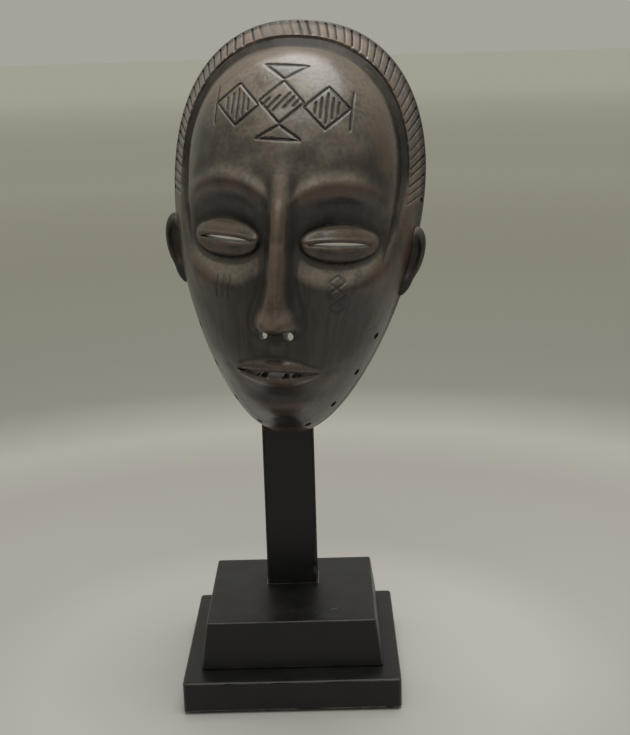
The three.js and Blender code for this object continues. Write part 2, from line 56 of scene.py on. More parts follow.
class Wire:
    """A shader socket whose sums and products, written in Python, become Math nodes."""

    def __init__(self, material, socket=None):
        self.material = material
        self.socket = socket

    def node(self, kind, settings=None, sockets=None, out=0):
        made = self.material.node_tree.nodes.new("ShaderNode" + kind)
        for name, value in (settings or {}).items():
            if name == "stops":
                ramp = made.color_ramp.elements
                while len(ramp) < len(value):
                    ramp.new(0.5)
                for stop, (place, colour) in zip(ramp, value):
                    stop.position = place
                    stop.color = (*colour, 1)
            else:
                setattr(made, name, value)
        for name, value in (sockets or {}).items():
            if isinstance(value, Wire):
                self.material.node_tree.links.new(value.socket, made.inputs[name])
            else:
                made.inputs[name].default_value = value
        return Wire(self.material, made.outputs[out])

    def maths(self, operation, *values):
        sockets = dict(enumerate(values))
        return self.node("Math", {"operation": operation}, sockets)

    def __add__(self, other):
        return self.maths("ADD", self, other)

    def __radd__(self, other):
        return self.maths("ADD", other, self)

    def __sub__(self, other):
        return self.maths("SUBTRACT", self, other)

    def __rsub__(self, other):
        return self.maths("SUBTRACT", other, self)

    def __mul__(self, other):
        return self.maths("MULTIPLY", self, other)

    def __rmul__(self, other):
        return self.maths("MULTIPLY", other, self)

    def between(self, low, high):
        """0 below low, 1 above high, smooth in between."""
        settings = {"interpolation_type": "SMOOTHSTEP"}
        sockets = {"Value": self, "From Min": low, "From Max": high}
        return self.node("MapRange", settings, sockets)

    def mix(self, first, second):
        """first where this is 0, second where it is 1; both are colours."""
        sockets = {0: self, 6: first, 7: second}
        return self.node("Mix", {"data_type": "RGBA"}, sockets, out=2)


def finish_with(name, colour, roughness, bump, height, **constants):
    """A material whose surface varies, and whose other sockets hold plain numbers."""
    material = colour.material
    material.name = name
    shader = material.node_tree.nodes["Principled BSDF"]
    links = material.node_tree.links
    links.new(colour.socket, shader.inputs["Base Color"])
    links.new(roughness.socket, shader.inputs["Roughness"])
    normal = colour.node("Bump", None, {"Height": bump, "Distance": height})
    links.new(normal.socket, shader.inputs["Normal"])
    for socket, value in constants.items():
        shader.inputs[socket.replace("_", " ")].default_value = value
    return material


def blank_material():
    material = bpy.data.materials.new("new")
    material.use_nodes = True
    return Wire(material)


def rgb(red, green, blue):
    """A colour picked on a 0 to 255 scale, as the linear values that shaders use."""
    return tuple((c / 255) ** 2.2 for c in (red, green, blue)) + (1,)


def place(name, mesh, material, body, *nodes):
    """Makes a finished bmesh a piece of the object, in place of the CAD nodes."""
    data = bpy.data.meshes.new(name)
    mesh.to_mesh(data)
    mesh.free()
    piece = bpy.data.objects.new(name, data)
    bpy.context.scene.collection.objects.link(piece)
    data.materials.append(material)
    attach(piece, body)
    if nodes:
        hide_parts(*nodes)
    return piece


def bell_of(value, width):
    return math.exp(-((value / width) ** 2))


def board(low, high, bevel, cuts, narrower=(0.0, 0.0), seed=0.0):
    """A planed board between two corners, its arrises eased and a little uneven from use."""
    half = (high - low) / 2
    middle = (high + low) / 2
    mesh = bmesh.new()
    bmesh.ops.create_cube(mesh, size=2)
    bmesh.ops.subdivide_edges(mesh, edges=mesh.edges[:], cuts=cuts, use_grid_fill=True)
    for vertex in mesh.verts:
        vertex.co = [vertex.co[i] * half[i] for i in range(3)]
    mesh.normal_update()
    corners = [
        e
        for e in mesh.edges
        if e.calc_face_angle() > 1 and abs(e.verts[0].co.z - e.verts[1].co.z) > 0.2 * mm
    ]
    bmesh.ops.bevel(
        mesh, geom=corners, offset=2 * bevel, segments=5, profile=0.5, affect="EDGES", material=-1
    )
    mesh.normal_update()
    arrises = [e for e in mesh.edges if e.calc_face_angle() > 1]
    bmesh.ops.bevel(
        mesh, geom=arrises, offset=bevel, segments=4, profile=0.5, affect="EDGES", material=-1
    )
    # 1 on the horizontal arrises, 0.45 on the corners: the paint is drawn greyer there, partly as worn paint
    # and partly as a painted highlight of the edges.
    layer = mesh.verts.layers.float.new("edge_wear")
    top = mesh.verts.layers.float.new("top_face")
    for vertex in mesh.verts:
        at = vertex.co.copy()
        out_x, out_y, out_z = (abs(at[i]) - half[i] for i in range(3))
        on_top_arris = -0.98 * bevel < out_z < -0.1 * bevel
        on_corner = min(out_x, out_y) > -1.3 * bevel
        vertex[layer] = 1.0 if on_top_arris else 0.45 if on_corner else 0.0
        vertex[top] = 1.0 if at.z > half.z - 0.05 * bevel else 0.0
        up = 0.5 + at.z / (2 * half.z)
        vertex.co.x *= 1 - narrower[0] / half.x * up
        vertex.co.y *= 1 - narrower[1] / half.y * up
        if on_top_arris or on_corner:
            rough_edge = noise.noise((at * 180) + Vector((seed, 0, 0)))
            vertex.co -= vertex.co.normalized() * 0.12 * mm * max(rough_edge, 0)
        vertex.co += middle
    for face in mesh.faces:
        face.smooth = True
    return mesh


# The paint of the three boards: satin black, thinner and greyer along the arrises, partly as worn paint
# and partly as a painted highlight of light catching the edges, with a few specks of dust, one short
# scratch on the block and a light seam where the post meets it.
paint = blank_material()
at = paint.node("TexCoord", out=3)
arris = paint.node("Attribute", {"attribute_name": "edge_wear"}, out=2)
cloud = paint.node("TexNoise", None, {"Vector": at, "Scale": 45.0, "Detail": 4.0})
rub = paint.node("TexNoise", None, {"Vector": at, "Scale": 160.0, "Detail": 4.0, "Roughness": 0.65})
dust = paint.node("TexNoise", None, {"Vector": at, "Scale": 1500.0, "Detail": 1.0})
brush = paint.node("TexNoise", None, {"Vector": at, "Scale": 700.0, "Detail": 3.0})
colour = cloud.between(0.3, 0.7).mix(rgb(23, 23, 23), rgb(29, 28, 28))
bare = arris * rub.between(0.5, 0.62)
# Greyer along the arrises: partly thin worn paint, partly a painted highlight where light catches the edges.
colour = (0.8 * arris * (0.55 + 0.45 * cloud.between(0.35, 0.6))).mix(colour, rgb(84, 82, 77))
colour = (0.35 * bare).mix(colour, rgb(116, 106, 94))
level = paint.node("Attribute", {"attribute_name": "top_face"}, out=2)
place_x, place_y, place_z = (paint.node("SeparateXYZ", None, {"Vector": at}, out=i) for i in range(3))
specks = dust.between(0.74, 0.77) * level + dust.between(0.78, 0.8) * 0.4
colour = (0.7 * specks).mix(colour, rgb(128, 124, 116))
on_block = place_z.between(0.04, 0.046)
scratch_across, scratch_back, scratch_off = 0.9, 0.42, 0.0345
along = place_x * scratch_across + place_y * scratch_back
off = place_y * scratch_across - place_x * scratch_back + scratch_off
line = off.maths("ABSOLUTE", off)
scratch = (1 - line.between(0.0001, 0.0005)) * level * along.between(0.0085, 0.0095)
scratch = scratch * (1 - along.between(0.0135, 0.0145)) * on_block
post_half_width, post_middle, post_half_depth = 0.0155, 0.022, 0.009
beside = place_x.maths("ABSOLUTE", place_x) - post_half_width
behind = (place_y - post_middle).maths("ABSOLUTE", place_y - post_middle) - post_half_depth
from_post = beside.maths("MAXIMUM", beside, behind)
seam = from_post.between(0.00005, 0.0002) * (1 - from_post.between(0.0005, 0.0009)) * level
seam = seam * on_block * rub.between(0.3, 0.5)
colour = (0.7 * seam).mix(colour, rgb(120, 118, 112))
colour = (0.6 * scratch).mix(colour, rgb(120, 114, 104))
rough = 0.33 + 0.12 * cloud.between(0.3, 0.7) + 0.3 * specks + 0.2 * bare
paint_height = brush + 0.6 * cloud
paint_material = finish_with("stand_paint", colour, rough, paint_height, 0.00004, Specular_IOR_Level=0.4)

felt = blank_material()
at = felt.node("TexCoord", out=3)
fibres = felt.node("TexNoise", None, {"Vector": at, "Scale": 1800.0, "Detail": 4.0})
tufts = felt.node("TexNoise", None, {"Vector": at, "Scale": 260.0, "Detail": 3.0})
colour = fibres.between(0.3, 0.7).mix(rgb(22, 22, 23), rgb(58, 57, 56))
felt_material = finish_with("felt", colour, 0.9 + 0.08 * tufts, fibres + tufts, 0.0005, Sheen_Weight=0.3)
low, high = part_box("base_felt")
felt_sheet = board(low, high, 0.25 * mm, 12)
sheet = place("felt_sheet", felt_sheet, felt_material, "stand", "base_felt")

# ---------------------------------------------------------------------------
# The plinth: a square slab of planed softwood, painted satin black. The block is screwed
# to it from below.

low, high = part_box("base_plinth")
plinth = board(low, high, 1.1 * mm, 26, seed=3.0)
place("plinth", plinth, paint_material, "stand", "base_plinth")

# ---------------------------------------------------------------------------
# The block on the plinth: the same wood, its four sides planed to slope in towards the top,
# painted with the plinth. The post stands in a mortise in its top.

low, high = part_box("base_block")
block = board(low, high, 0.9 * mm, 26, narrower=(4 * mm, 3.5 * mm), seed=7.0)
place("block", block, paint_material, "stand", "base_block")

# ---------------------------------------------------------------------------
# The post: an upright board on a stub tenon, painted black and chipped near its foot. Its
# top is bored for the steel spine, and a screw in its back locks the spine.

low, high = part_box("post")
low.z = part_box("base_block")[1].z + 0.3 * mm
post = board(low, high, 0.7 * mm, 60, seed=12.0)
chip = Vector((high.x, low.y, low.z + 9.5 * mm))
for vertex in post.verts:
    depth = 2.3 * mm * bell_of((vertex.co - chip).length, 2.2 * mm)
    vertex.co += Vector((-1, 1, 0)).normalized() * depth
place("post_board", post, paint_material, "stand", "post")

# ---------------------------------------------------------------------------
# The felt pad on the post's face: a stub of thick black felt, glued on, that the mask's chin
# leans against.

low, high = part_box("chin_pad")
pad = board(low, high, 0.7 * mm, 14)
for vertex in pad.verts:
    vertex.co.y += 0.1 * mm * noise.noise(vertex.co * 400)
place("pad", pad, felt_material, "stand", "chin_pad")

# ---------------------------------------------------------------------------
# The spine: a 6 mm steel rod, blacked, that rises from the post and bends forward to the
# collar, where its end is brazed in.

steel = blank_material()
at = steel.node("TexCoord", out=3)
scale_marks = steel.node("TexNoise", None, {"Vector": at, "Scale": 220.0, "Detail": 4.0})
drawn = steel.node("Mapping", None, {"Vector": at, "Scale": (1.0, 1.0, 0.08)})
lines = steel.node("TexNoise", None, {"Vector": drawn, "Scale": 1600.0, "Detail": 2.0})
colour = scale_marks.between(0.35, 0.65).mix(rgb(34, 34, 36), rgb(62, 60, 58))
colour = (0.5 * lines.between(0.6, 0.75)).mix(colour, rgb(96, 90, 84))
rough = 0.36 + 0.2 * scale_marks
steel_material = finish_with("black_steel", colour, rough, lines + scale_marks, 0.00004, Metallic=0.85)

collar_low, collar_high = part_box("bar_collar")
collar_middle = (collar_low + collar_high) / 2
swing = next(j for j in frame["joints"] if j["name"] == "mask_swing")
lift = next(j for j in frame["joints"] if j["name"] == "mask_lift")
across_bar = -Vector(swing["axis"]).normalized()
rod_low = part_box("spine_rod")[0]
rod_foot = Vector((8 * mm, 22 * mm, rod_low.z))
backward = rod_foot - collar_middle
backward.z = 0
reach = backward.length
backward.normalize()
rod_radius = 3 * mm
bend = 11 * mm
collar_radius = 8 * mm


def swept(mesh, path, radius, sides, flat=0.0):
    """A round bar whose middle follows the path, its two ends eased."""
    rings = []
    for i, point in enumerate(path):
        before, after = path[max(i - 1, 0)], path[min(i + 1, len(path) - 1)]
        run = (after - before).normalized()
        side = run.cross(Vector((0.993, 0.12, 0.0))).normalized()
        other = run.cross(side)
        size = radius - flat if i in (0, len(path) - 1) else radius
        turns = [2 * math.pi * k / sides for k in range(sides)]
        rings.append(
            [mesh.verts.new(point + size * (side * math.cos(t) + other * math.sin(t))) for t in turns]
        )
    for first, second in zip(rings, rings[1:]):
        for k in range(sides):
            face = mesh.faces.new((first[k], first[(k + 1) % sides], second[(k + 1) % sides], second[k]))
            face.smooth = True
    mesh.faces.new(list(reversed(rings[0])))
    mesh.faces.new(rings[-1])
    bmesh.ops.recalc_face_normals(mesh, faces=mesh.faces)


top = collar_middle.z
path = [rod_foot, rod_foot + Vector((0, 0, 0.4 * mm))]
straight = top - bend - rod_foot.z
path += [Vector((rod_foot.x, rod_foot.y, rod_foot.z + share * straight)) for share in (0.3, 0.6, 0.9)]
for step in range(13):
    a = step / 12 * math.pi / 2
    inward_bend = -backward * bend * (1 - math.cos(a))
    path.append(Vector((rod_foot.x, rod_foot.y, top - bend + bend * math.sin(a))) + inward_bend)
path.append(rod_foot - backward * (reach - collar_radius + 3.6 * mm) + Vector((0, 0, top - rod_foot.z)))
rod = bmesh.new()
swept(rod, path, rod_radius, 40, 0.3 * mm)
place("spine", rod, steel_material, "stand", "spine_rod")

# ---------------------------------------------------------------------------
# The collar: turned from steel bar and cross-drilled, with eased ends. A grub screw under it
# locks the cross bar.

upwards = across_bar.cross(backward).normalized()
if upwards.z < 0:
    upwards = -upwards
sideways = Matrix((across_bar, upwards.cross(across_bar), upwards)).transposed()


def turned_piece(profile, sides):
    """A piece turned on a lathe about the bar's axis: pairs of place along the bar and radius."""
    mesh = bmesh.new()
    verts = [mesh.verts.new((along, 0, radius)) for along, radius in profile]
    edges = [mesh.edges.new((verts[i], verts[(i + 1) % len(verts)])) for i in range(len(verts))]
    bmesh.ops.spin(
        mesh,
        geom=verts + edges,
        cent=(0, 0, 0),
        axis=(1, 0, 0),
        angle=2 * math.pi,
        steps=sides,
        use_merge=True,
    )
    bmesh.ops.recalc_face_normals(mesh, faces=mesh.faces)
    for face in mesh.faces:
        face.smooth = True
    for edge in mesh.edges:
        if edge.calc_face_angle(0) > math.radians(40):
            edge.smooth = False
    return mesh


def placed(mesh, middle):
    for vertex in mesh.verts:
        vertex.co = sideways @ vertex.co + middle
    return mesh


half, bore = 7.5 * mm, 2.8 * mm
ease = 0.7 * mm
profile = [(-half, bore), (-half, collar_radius - ease), (-half + 0.3 * ease, collar_radius - 0.3 * ease)]
profile += [(-half + ease, collar_radius), (half - ease, collar_radius)]
profile += [(half - 0.3 * ease, collar_radius - 0.3 * ease), (half, collar_radius - ease), (half, bore)]
collar = placed(turned_piece(profile, 64), collar_middle)
place("collar", collar, steel_material, "stand", "bar_collar")

# ---------------------------------------------------------------------------
# The cross bar: a 5 mm steel bar through the collar, sawn to length and eased at both ends.

bar_low, bar_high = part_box("cross_bar")
bar_middle = (bar_low + bar_high) / 2
reach = 38.5 * mm
profile = [(-reach, 0.4 * mm), (-reach, 1.9 * mm), (-reach + 0.6 * mm, 2.5 * mm)]
profile += [(reach - 0.6 * mm, 2.5 * mm), (reach, 1.9 * mm), (reach, 0.4 * mm)]
bar = turned_piece(profile, 40)
bmesh.ops.holes_fill(bar, edges=[e for e in bar.edges if e.is_boundary], sides=0)
place("bar", placed(bar, bar_middle), steel_material, "stand", "cross_bar")

# ---------------------------------------------------------------------------
# The two sleeves: short black rubber tubes that turn on the bar, and carry the mask without
# marking it.

rubber = blank_material()
at = rubber.node("TexCoord", out=3)
bloom = rubber.node("TexNoise", None, {"Vector": at, "Scale": 300.0, "Detail": 3.0})
colour = bloom.between(0.35, 0.7).mix(rgb(26, 26, 26), rgb(52, 51, 49))
rubber_material = finish_with("sleeve_rubber", colour, 0.6 + 0.2 * bloom, bloom, 0.00008)
for side, name in ((-1, "bar_sleeve_left"), (1, "bar_sleeve_right")):
    low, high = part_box(name)
    half, outer = 6.5 * mm, 4.8 * mm
    profile = [(-half, 2.8 * mm), (-half, outer - 0.5 * mm), (-half + 0.15 * mm, outer - 0.15 * mm)]
    profile += [(-half + 0.5 * mm, outer), (half - 0.5 * mm, outer)]
    profile += [(half - 0.15 * mm, outer - 0.15 * mm), (half, outer - 0.5 * mm), (half, 2.8 * mm)]
    tube = placed(turned_piece(profile, 48), (low + high) / 2)
    piece = place(name.replace("bar_", ""), tube, rubber_material, "sleeves", name)

# ---------------------------------------------------------------------------
# The screws: zinc-plated slotted wood screws under the base, and two black grub screws.
# They are shown as the model has them.

zinc = blank_material()
at = zinc.node("TexCoord", out=3)
spangle = zinc.node("TexNoise", None, {"Vector": at, "Scale": 500.0, "Detail": 3.0})
colour = spangle.between(0.35, 0.65).mix(rgb(150, 149, 144), rgb(188, 187, 182))
zinc_material = finish_with("screw_steel", colour, 0.3 + 0.2 * spangle, spangle, 0.00003, Metallic=1.0)
for name, piece in frame["nodes"].items():
    if "screw" in name:
        material = steel_material if "grub" in name else zinc_material
        for entry in piece.material_slots:
            entry.material = material

# ---------------------------------------------------------------------------
# The mask: one block of hardwood, carved outside with knives, hollowed behind with an
# adze, then oiled, smoked and handled for years. It hangs on the bar's sleeves.

mask_height = 238 * mm
mask_width = 145 * mm
mask_depth = 72 * mm
wood_thickness = 8 * mm
hollow_depth = 60 * mm
bar_forward = 13 * mm
bar_above_middle = 86.837 * mm
egg_fullness = 0.27
edge_fullness = 0.9
dome_fullness = 0.86
edge_wall = 3 * mm
band_width = 9.5 * mm
band_slope = 2.1
cove_width = 9 * mm
cove_height = 20 * mm

# Shares of the height down from the crown, on plain textbook proportions
brow_level, eye_level, nose_level, mouth_level = (
    mask_height * (0.5 - share) for share in (0.4, 0.5, 0.7, 0.8)
)
eye_side = 31 * mm


def ramp(value, start, end):
    t = np.clip((value - start) / (end - start), 0, 1)
    return t * t * (3 - 2 * t)


def bell(value, middle, width):
    return np.exp(-(((value - middle) / width) ** 2))


def soft_min(a, b, blend):
    mix = np.maximum(blend - np.abs(a - b), 0) / blend
    return np.minimum(a, b) - mix * mix * blend / 4


def soft_max(a, b, blend):
    return -soft_min(-a, -b, blend)


def dome_curve(share):
    """Quarter of a full ellipse: 0 at share 0, 1 at share 1, steep at first."""
    return np.sqrt(np.clip(1 - (1 - np.clip(share, 0, 1)) ** 2.3, 0, 1))


def egg_width(angle):
    sine = np.sin(angle)
    return np.sign(sine) * np.abs(sine) ** edge_fullness * (1 + egg_fullness * np.cos(angle))


egg_widest = egg_width(np.linspace(0, math.pi, 2000)).max()


def edge_at(angle, inset=0.0):
    """The back edge's outline, across and up, at an angle round from the crown."""
    across = egg_width(angle) / egg_widest * (mask_width / 2 - inset)
    return across, np.cos(angle) * (mask_height / 2 - inset)


def polar(x, z):
    """The angle round from the crown, and the share of the way out to the back edge."""
    angle = np.arctan2(x * mask_height / mask_width, z)
    for _ in range(8):
        edge_x, edge_z = edge_at(angle)
        miss = np.arctan2(x, z) - np.arctan2(edge_x, edge_z)
        angle = angle + np.arctan2(np.sin(miss), np.cos(miss))
    edge_x, edge_z = edge_at(angle)
    return angle, np.hypot(x, z) / np.hypot(edge_x, edge_z)


def block_forward(x, z):
    """The roughed-out block: a flat brim for the hair band, a cove, then the full forehead."""
    angle, spread = polar(x, z)
    edge_x, edge_z = edge_at(angle)
    reach = np.hypot(edge_x, edge_z)
    inward = reach * (1 - spread)
    crown = 1 - ramp(np.abs(angle), 1.15, 1.75)
    jaw = 4 * mm + (mask_depth - 4 * mm) * dome_curve(inward / reach) ** 1.3
    band = edge_wall + band_slope * inward
    step = 1.6 * mm * ramp(inward, band_width - 0.5 * mm, band_width + 1.2 * mm)
    floor_of_cove = edge_wall + band_slope * band_width + 0.25 * (inward - band_width)
    low = soft_min(band, floor_of_cove, 1 * mm) - step
    start = band_width + 0.6 * cove_width
    share = (inward - start) / (reach - start)
    forehead = cove_height + (mask_depth - cove_height) * dome_curve(share)
    top = soft_max(low, np.where(share > 0, forehead, 0), 7 * mm)
    return jaw + (top - jaw) * crown


def features(x, z):
    """What is carved on the block: brows, sockets, lids, nose, lips and chin."""
    side = np.abs(x)
    brow_line = brow_level + 5.5 * mm - 0.016 / mm * (side - eye_side) ** 2
    forehead = 5 * mm * bell(z, 62 * mm, 44 * mm) * bell(x, 0, 52 * mm)
    above = ramp(brow_line - z, -1.5 * mm, 8 * mm)
    across = np.hypot((side - 32 * mm) / (29 * mm), (z - 3 * mm) / (28 * mm))
    socket = -12 * mm * above * (1 - ramp(across, 0.3, 1.1))
    brow = 2.2 * mm * bell(z, brow_line + 3 * mm, 5 * mm) * ramp(side, 0, 12 * mm)
    brow = brow * (1 - ramp(side, 46 * mm, 62 * mm))
    lid_across = np.hypot((side - eye_side) / (20 * mm), (z - eye_level) / (10.5 * mm))
    lid = 8.5 * mm * np.sqrt(np.clip(1 - lid_across**2.2, 0, 1))
    slit_across = (side - eye_side) / (17.5 * mm)
    slit_edge = np.abs(z - eye_level) / mm - 1.4 * np.clip(1 - slit_across**2, 0, 1)
    lip_of_lid = 0.9 * mm * bell(slit_edge, 1.3, 1.0) * (1 - ramp(np.abs(slit_across), 0.85, 1.1))
    down_nose = np.clip((brow_level - z) / (brow_level - nose_level), 0, 1)
    ridge_half = (6.0 + 2.2 * down_nose + 4.2 * ramp(down_nose, 0.6, 0.95)) * mm
    ridge_high = (6 + 15 * down_nose**0.9) * mm
    ridge = ridge_high * (1 - ramp(side, 0.15 * ridge_half, 1.25 * ridge_half))
    ridge = ridge * ramp(z, nose_level - 2.5 * mm, nose_level + 4 * mm)
    ridge = ridge * (1 - ramp(z, brow_level - 10 * mm, brow_level + 22 * mm))
    wing = 4.2 * mm * bell(side, 8.2 * mm, 4.2 * mm) * bell(z, nose_level + 6.5 * mm, 5 * mm)
    muzzle = 8.5 * mm * bell(z, mouth_level + 1 * mm, 21 * mm) * bell(x, 0, 37 * mm)
    groove = -0.9 * mm * bell(x, 0, 2.8 * mm) * bell(z, mouth_level + 16 * mm, 4 * mm)
    mouth_across = np.clip(1 - (x / (27 * mm)) ** 2, 0, 1)
    upper_top = mouth_level + 8.5 * mm * mouth_across - 0.5 * mm * bell(x, 0, 5 * mm)
    upper = ramp(upper_top - z, -0.8 * mm, 2.2 * mm) * ramp(z, mouth_level - 1 * mm, mouth_level + 2 * mm)
    lower_foot = mouth_level - 9 * mm * mouth_across
    lower = ramp(z - lower_foot, -0.8 * mm, 3 * mm) * ramp(-z, -mouth_level - 1 * mm, -mouth_level + 2 * mm)
    lips = (3.6 * mm * upper + 4.0 * mm * lower) * np.sqrt(mouth_across)
    crease = -1.6 * mm * bell(z, mouth_level, 1.6 * mm) * bell(x, 0, 26 * mm)
    under_lip = -2.4 * mm * bell(z, mouth_level - 14.5 * mm, 5 * mm) * bell(x, 0, 19 * mm)
    chin = 6 * mm * bell(z, mouth_level - 27 * mm, 11 * mm) * bell(x, 0, 19 * mm)
    cheekbone = 3.2 * mm * bell(side, 45 * mm, 15 * mm) * bell(z, -19 * mm, 13 * mm)
    cheek = -2.6 * mm * bell(side, 36 * mm, 14 * mm) * bell(z, -52 * mm, 20 * mm)
    carved = forehead + socket + brow + lid + lip_of_lid + ridge + wing + muzzle + groove
    return carved + lips + crease + under_lip + chin + cheekbone + cheek


def face_forward(x, z):
    """How far the carved face stands in front of the back edge."""
    angle, spread = polar(x, z)
    fade = 1 - ramp(spread, 0.80, 0.97)
    return block_forward(x, z) + features(x, z) * fade


def hollow_forward(x, z):
    """The hollow's depth: a smaller dome that keeps a wall behind the carving."""
    angle = np.arctan2(x, z)
    for _ in range(8):
        edge_x, edge_z = edge_at(angle, wood_thickness)
        miss = np.arctan2(x, z) - np.arctan2(edge_x, edge_z)
        angle = angle + np.arctan2(np.sin(miss), np.cos(miss))
    edge_x, edge_z = edge_at(angle, wood_thickness)
    spread = np.clip(np.hypot(x, z) / np.hypot(edge_x, edge_z), 0, 1)
    dome = hollow_depth * dome_curve(1 - spread)
    outward = 1 + 0.8 * wood_thickness / np.maximum(np.hypot(x, z), 1 * mm)
    beside = face_forward(x * outward, z * outward) - 0.3 * wood_thickness
    behind = face_forward(x, z) - wood_thickness
    depth = soft_min(soft_min(dome, behind, 6 * mm), beside, 6 * mm)
    return np.maximum(depth, 0)


columns = 260
outer_rings = 84
edge_rings = 5
inner_rings = 26
rings = outer_rings + edge_rings + inner_rings
groove_count = 57
groove_pitch = 5.3 * mm
band_end = 1.4  # radians round from the crown, just above each ear
rng = np.random.default_rng(11)
groove_depths = rng.uniform(0.75, 1.15, groove_count + 1)
groove_shifts = rng.uniform(-0.09, 0.09, groove_count + 1)
ripple_ways = rng.uniform(0, 2 * math.pi, 14)
ripple_phases = rng.uniform(0, 2 * math.pi, 14)
ripple_lengths = rng.uniform(0.7, 1.5, 14)


def ripple(x, z, length):
    """Gentle unevenness left by the knife, about -1 to 1."""
    total = np.zeros_like(x)
    for way, phase, share in zip(ripple_ways, ripple_phases, ripple_lengths):
        along = x * math.cos(way) + z * math.sin(way)
        total = total + np.sin(along * 2 * math.pi / (length * share) + phase)
    return total / 4.5


def arc_from_crown(angle):
    """Distance along the back edge from the crown, less than nothing on the left."""
    steps = np.linspace(0, 1.7, 400)
    across, up = edge_at(steps)
    lengths = np.concatenate(([0], np.cumsum(np.hypot(np.diff(across), np.diff(up)))))
    return np.sign(angle) * np.interp(np.abs(angle), steps, lengths)


def band_cuts(angle, inward):
    """How deep the slanting cuts of the hair band are, 0 to 1, and where the band is."""
    slant = 0.08 + 0.55 * ramp(angle, -0.45, -0.1) - 0.22 * ramp(angle, 0.2, 0.8)
    along = (arc_from_crown(angle) - slant * inward) / groove_pitch
    index = np.clip(np.rint(along) + groove_count // 2, 0, groove_count).astype(int)
    off = np.abs(along - np.rint(along) + groove_shifts[index]) * groove_pitch
    band = ramp(inward, 0.5 * mm, 1.3 * mm) * (1 - ramp(inward, band_width - 1 * mm, band_width + 0.2 * mm))
    band = band * (1 - ramp(np.abs(angle), band_end - 0.03, band_end))
    rubbed = 1 - 0.7 * bell(angle, -0.16, 0.1)
    cut = (1 - ramp(off, 0.1 * mm, 1.15 * mm)) * groove_depths[index] * rubbed
    return cut * band, band


def motif_strokes():
    """The forehead's pattern: three hatched lozenges between two lines, with a triangle over and under."""
    middle, wide, high = 73 * mm, 12 * mm, 11 * mm
    strokes = []
    for column in (-1, 0, 1):
        x = 2 * wide * column
        z = middle - 2.2 * mm * abs(column)
        corners = [(x - wide, z), (x, z + high), (x + wide, z), (x, z - high)]
        strokes += [(corners[i], corners[(i + 1) % 4]) for i in range(4)]
        for step in (-2, -1, 0, 1, 2):
            reach = 1 - abs(step) / 3.4
            if column == 0:
                start = (x + (step / 3 - 0.36 * reach) * wide, z - 0.46 * reach * high)
                end = (x + (step / 3 + 0.36 * reach) * wide, z + 0.46 * reach * high)
            else:
                start = (x + step * wide / 4, z - 0.7 * reach * high)
                end = (x + step * wide / 4, z + 0.7 * reach * high)
            strokes.append((start, end))
    for side in (-1, 1):
        base = middle + side * 1.75 * high
        tip = middle + side * 1.08 * high
        strokes += [((-wide, base), (0, tip)), ((wide, base), (0, tip)), ((-wide, base), (wide, base))]
        strokes.append(((side * 3.05 * wide, middle - 1.2 * high), (side * 3.05 * wide, middle + 0.6 * high)))
    return strokes


def mark_strokes():
    """Small marks: a chain of lozenges on one cheek, three strokes on the other, a square by the ear."""
    strokes = []
    x, z, wide, high = 31 * mm, -27 * mm, 4.2 * mm, 3.4 * mm
    for row in (-1, 0, 1):
        corners = [(x - wide, z + 2 * row * high), (x, z + (2 * row + 1) * high)]
        corners += [(x + wide, z + 2 * row * high), (x, z + (2 * row - 1) * high)]
        strokes += [(corners[i], corners[(i + 1) % 4]) for i in range(4)]
    for column in (0, 1, 2):
        strokes.append(((-35 * mm + 3.6 * mm * column, -32 * mm), (-34.5 * mm + 3.6 * mm * column, -20 * mm)))
    x, z, wide = 57 * mm, -10 * mm, 3.2 * mm
    corners = [(x - wide, z - wide), (x + wide, z - wide), (x + wide, z + wide), (x - wide, z + wide)]
    strokes += [(corners[i], corners[(i + 1) % 4]) for i in range(4)]
    strokes.append((corners[0], corners[2]))
    return strokes


def stroke_cuts(x, z, strokes, half_width):
    """1 in the middle of the nearest stroke, 0 outside all of them."""
    nearest = np.full_like(x, 1.0)
    for (start_x, start_z), (end_x, end_z) in strokes:
        run_x, run_z = end_x - start_x, end_z - start_z
        share = ((x - start_x) * run_x + (z - start_z) * run_z) / (run_x**2 + run_z**2)
        share = np.clip(share, 0, 1)
        miss = np.hypot(x - start_x - share * run_x, z - start_z - share * run_z)
        taper = 0.55 + 0.45 * np.sqrt(np.clip(4 * share * (1 - share), 0, 1))
        nearest = np.minimum(nearest, miss / taper)
    return 1 - ramp(nearest, 0.15 * half_width, half_width)


def incised(x, z):
    """How deep every fine cut of the face is, 0 to 1."""
    motif = stroke_cuts(x + 3 * mm, z, motif_strokes(), 1.0 * mm)
    marks = stroke_cuts(x, z, mark_strokes(), 0.8 * mm)
    return np.maximum(motif, 0.6 * marks)


